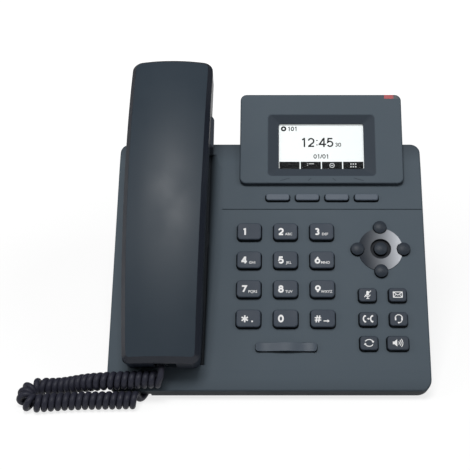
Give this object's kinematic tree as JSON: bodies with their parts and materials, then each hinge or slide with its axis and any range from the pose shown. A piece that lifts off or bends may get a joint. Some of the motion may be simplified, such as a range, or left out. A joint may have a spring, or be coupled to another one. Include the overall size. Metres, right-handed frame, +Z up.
{
  "type": "desk ip phone",
  "caption": "Desk IP phone on a stand: handset with curly cord in a side cradle, raised display, dial, soft, navigation and function keys, volume rocker.",
  "frame": {"origin": "bottom centre of the phone on the desk, without its cord", "axes": "+X to the user's right, +Y away from the user, +Z up"},
  "size_m": [0.2407, 0.1587, 0.1686],
  "materials": {
    "plate_grey": "fine texture",
    "case_dark": "fine texture",
    "riser_black": "fine texture",
    "handset_slate": "satin",
    "key_grey": "satin",
    "soft_key_pale": "satin",
    "nav_button_grey": "satin",
    "rocker_grey": "satin",
    "nav_silver": "satin",
    "window_clear": "polished",
    "lcd_white": "polished",
    "lamp_red": "translucent",
    "silicone_grey": "matt",
    "board_green": "solder mask",
    "speaker_black": "matt",
    "socket_black": "matt",
    "screw_steel": "plated",
    "foot_rubber": "matt",
    "cord_charcoal": "satin",
    "plug_clear": "clear"
  },
  "bodies": {
    "base": {"upper_housing": "plate_grey", "lower_housing": "case_dark", "cradle_riser": "riser_black", "display_bezel": "plate_grey", "display_rear_cover": "case_dark", "display_window": "window_clear", "lcd_panel": "lcd_white", "message_lamp_lens": "lamp_red", "nav_ring": "nav_silver", "keypad_membrane": "silicone_grey", "main_board": "board_green", "loudspeaker": "speaker_black", "power_socket": "socket_black", "pc_socket": "socket_black", "lan_socket": "socket_black", "headset_socket": "socket_black", "base_handset_socket": "socket_black", "housing_screws": "screw_steel", "front_feet": "foot_rubber", "desk_stand": "case_dark", "stand_feet": "foot_rubber", "handset_cord": "cord_charcoal", "cord_plug_base": "plug_clear"},
    "handset": {"handset_back_shell": "handset_slate", "handset_face_shell": "handset_slate", "earpiece_receiver": "speaker_black", "handset_microphone": "speaker_black", "handset_jack": "socket_black", "cord_plug_handset": "plug_clear"},
    "hook": {"hook_plunger": "riser_black"},
    "volume": {"volume_rocker": "rocker_grey"},
    "key_1_body": {"key_1": "key_grey"},
    "key_2_body": {"key_2": "key_grey"},
    "key_3_body": {"key_3": "key_grey"},
    "key_4_body": {"key_4": "key_grey"},
    "key_5_body": {"key_5": "key_grey"},
    "key_6_body": {"key_6": "key_grey"},
    "key_7_body": {"key_7": "key_grey"},
    "key_8_body": {"key_8": "key_grey"},
    "key_9_body": {"key_9": "key_grey"},
    "key_star_body": {"key_star": "key_grey"},
    "key_0_body": {"key_0": "key_grey"},
    "key_hash_body": {"key_hash": "key_grey"},
    "soft_key_1_body": {"soft_key_1": "soft_key_pale"},
    "soft_key_2_body": {"soft_key_2": "soft_key_pale"},
    "soft_key_3_body": {"soft_key_3": "soft_key_pale"},
    "soft_key_4_body": {"soft_key_4": "soft_key_pale"},
    "mute_key_body": {"mute_key": "key_grey"},
    "message_key_body": {"message_key": "key_grey"},
    "transfer_key_body": {"transfer_key": "key_grey"},
    "headset_key_body": {"headset_key": "key_grey"},
    "redial_key_body": {"redial_key": "key_grey"},
    "speaker_key_body": {"speaker_key": "key_grey"},
    "nav_up_body": {"nav_up": "nav_button_grey"},
    "nav_down_body": {"nav_down": "nav_button_grey"},
    "nav_left_body": {"nav_left": "nav_button_grey"},
    "nav_right_body": {"nav_right": "nav_button_grey"},
    "nav_ok_body": {"nav_ok": "nav_button_grey"}
  },
  "joints": [
    {"name": "handset_lift", "type": "slide", "parent": "base", "child": "handset", "axis": [0, -0.7071, 0.7071], "range_m": [0, 0.07], "deforming": ["handset_cord"]},
    {"name": "hook_rise", "type": "slide", "parent": "base", "child": "hook", "axis": [0, -0.7071, 0.7071], "range_m": [0, 0.003]},
    {"name": "volume_rock", "type": "hinge", "parent": "base", "child": "volume", "pos_m": [0.00995, -0.04697, 0.02321], "axis": [0, 0.7071, 0.7071], "range_deg": [-2.5, 2.5], "stiffness_Nm_per_rad": 0.2, "deforming": ["keypad_membrane"]},
    {"name": "key_1_press", "type": "slide", "parent": "base", "child": "key_1_body", "axis": [0, 0.7071, -0.7071], "range_m": [0, 0.0012], "stiffness_N_per_m": 400, "springref_m": -0.001, "deforming": ["keypad_membrane"]},
    {"name": "key_2_press", "type": "slide", "parent": "base", "child": "key_2_body", "axis": [0, 0.7071, -0.7071], "range_m": [0, 0.0012], "stiffness_N_per_m": 400, "springref_m": -0.001, "deforming": ["keypad_membrane"]},
    {"name": "key_3_press", "type": "slide", "parent": "base", "child": "key_3_body", "axis": [0, 0.7071, -0.7071], "range_m": [0, 0.0012], "stiffness_N_per_m": 400, "springref_m": -0.001, "deforming": ["keypad_membrane"]},
    {"name": "key_4_press", "type": "slide", "parent": "base", "child": "key_4_body", "axis": [0, 0.7071, -0.7071], "range_m": [0, 0.0012], "stiffness_N_per_m": 400, "springref_m": -0.001, "deforming": ["keypad_membrane"]},
    {"name": "key_5_press", "type": "slide", "parent": "base", "child": "key_5_body", "axis": [0, 0.7071, -0.7071], "range_m": [0, 0.0012], "stiffness_N_per_m": 400, "springref_m": -0.001, "deforming": ["keypad_membrane"]},
    {"name": "key_6_press", "type": "slide", "parent": "base", "child": "key_6_body", "axis": [0, 0.7071, -0.7071], "range_m": [0, 0.0012], "stiffness_N_per_m": 400, "springref_m": -0.001, "deforming": ["keypad_membrane"]},
    {"name": "key_7_press", "type": "slide", "parent": "base", "child": "key_7_body", "axis": [0, 0.7071, -0.7071], "range_m": [0, 0.0012], "stiffness_N_per_m": 400, "springref_m": -0.001, "deforming": ["keypad_membrane"]},
    {"name": "key_8_press", "type": "slide", "parent": "base", "child": "key_8_body", "axis": [0, 0.7071, -0.7071], "range_m": [0, 0.0012], "stiffness_N_per_m": 400, "springref_m": -0.001, "deforming": ["keypad_membrane"]},
    {"name": "key_9_press", "type": "slide", "parent": "base", "child": "key_9_body", "axis": [0, 0.7071, -0.7071], "range_m": [0, 0.0012], "stiffness_N_per_m": 400, "springref_m": -0.001, "deforming": ["keypad_membrane"]},
    {"name": "key_star_press", "type": "slide", "parent": "base", "child": "key_star_body", "axis": [0, 0.7071, -0.7071], "range_m": [0, 0.0012], "stiffness_N_per_m": 400, "springref_m": -0.001, "deforming": ["keypad_membrane"]},
    {"name": "key_0_press", "type": "slide", "parent": "base", "child": "key_0_body", "axis": [0, 0.7071, -0.7071], "range_m": [0, 0.0012], "stiffness_N_per_m": 400, "springref_m": -0.001, "deforming": ["keypad_membrane"]},
    {"name": "key_hash_press", "type": "slide", "parent": "base", "child": "key_hash_body", "axis": [0, 0.7071, -0.7071], "range_m": [0, 0.0012], "stiffness_N_per_m": 400, "springref_m": -0.001, "deforming": ["keypad_membrane"]},
    {"name": "soft_key_1_press", "type": "slide", "parent": "base", "child": "soft_key_1_body", "axis": [0, 0.7071, -0.7071], "range_m": [0, 0.0012], "stiffness_N_per_m": 400, "springref_m": -0.001, "deforming": ["keypad_membrane"]},
    {"name": "soft_key_2_press", "type": "slide", "parent": "base", "child": "soft_key_2_body", "axis": [0, 0.7071, -0.7071], "range_m": [0, 0.0012], "stiffness_N_per_m": 400, "springref_m": -0.001, "deforming": ["keypad_membrane"]},
    {"name": "soft_key_3_press", "type": "slide", "parent": "base", "child": "soft_key_3_body", "axis": [0, 0.7071, -0.7071], "range_m": [0, 0.0012], "stiffness_N_per_m": 400, "springref_m": -0.001, "deforming": ["keypad_membrane"]},
    {"name": "soft_key_4_press", "type": "slide", "parent": "base", "child": "soft_key_4_body", "axis": [0, 0.7071, -0.7071], "range_m": [0, 0.0012], "stiffness_N_per_m": 400, "springref_m": -0.001, "deforming": ["keypad_membrane"]},
    {"name": "mute_key_press", "type": "slide", "parent": "base", "child": "mute_key_body", "axis": [0, 0.7071, -0.7071], "range_m": [0, 0.0012], "stiffness_N_per_m": 400, "springref_m": -0.001, "deforming": ["keypad_membrane"]},
    {"name": "message_key_press", "type": "slide", "parent": "base", "child": "message_key_body", "axis": [0, 0.7071, -0.7071], "range_m": [0, 0.0012], "stiffness_N_per_m": 400, "springref_m": -0.001, "deforming": ["keypad_membrane"]},
    {"name": "transfer_key_press", "type": "slide", "parent": "base", "child": "transfer_key_body", "axis": [0, 0.7071, -0.7071], "range_m": [0, 0.0012], "stiffness_N_per_m": 400, "springref_m": -0.001, "deforming": ["keypad_membrane"]},
    {"name": "headset_key_press", "type": "slide", "parent": "base", "child": "headset_key_body", "axis": [0, 0.7071, -0.7071], "range_m": [0, 0.0012], "stiffness_N_per_m": 400, "springref_m": -0.001, "deforming": ["keypad_membrane"]},
    {"name": "redial_key_press", "type": "slide", "parent": "base", "child": "redial_key_body", "axis": [0, 0.7071, -0.7071], "range_m": [0, 0.0012], "stiffness_N_per_m": 400, "springref_m": -0.001, "deforming": ["keypad_membrane"]},
    {"name": "speaker_key_press", "type": "slide", "parent": "base", "child": "speaker_key_body", "axis": [0, 0.7071, -0.7071], "range_m": [0, 0.0012], "stiffness_N_per_m": 400, "springref_m": -0.001, "deforming": ["keypad_membrane"]},
    {"name": "nav_up_press", "type": "slide", "parent": "base", "child": "nav_up_body", "axis": [0, 0.7071, -0.7071], "range_m": [0, 0.0012], "stiffness_N_per_m": 400, "springref_m": -0.001, "deforming": ["keypad_membrane"]},
    {"name": "nav_down_press", "type": "slide", "parent": "base", "child": "nav_down_body", "axis": [0, 0.7071, -0.7071], "range_m": [0, 0.0012], "stiffness_N_per_m": 400, "springref_m": -0.001, "deforming": ["keypad_membrane"]},
    {"name": "nav_left_press", "type": "slide", "parent": "base", "child": "nav_left_body", "axis": [0, 0.7071, -0.7071], "range_m": [0, 0.0012], "stiffness_N_per_m": 400, "springref_m": -0.001, "deforming": ["keypad_membrane"]},
    {"name": "nav_right_press", "type": "slide", "parent": "base", "child": "nav_right_body", "axis": [0, 0.7071, -0.7071], "range_m": [0, 0.0012], "stiffness_N_per_m": 400, "springref_m": -0.001, "deforming": ["keypad_membrane"]},
    {"name": "nav_ok_press", "type": "slide", "parent": "base", "child": "nav_ok_body", "axis": [0, 0.7071, -0.7071], "range_m": [0, 0.0012], "stiffness_N_per_m": 400, "springref_m": -0.001, "deforming": ["keypad_membrane"]}
  ],
  "couplings": [
    {"joint": "hook_rise", "follows": "handset_lift", "ratio": 0.042857}
  ]
}
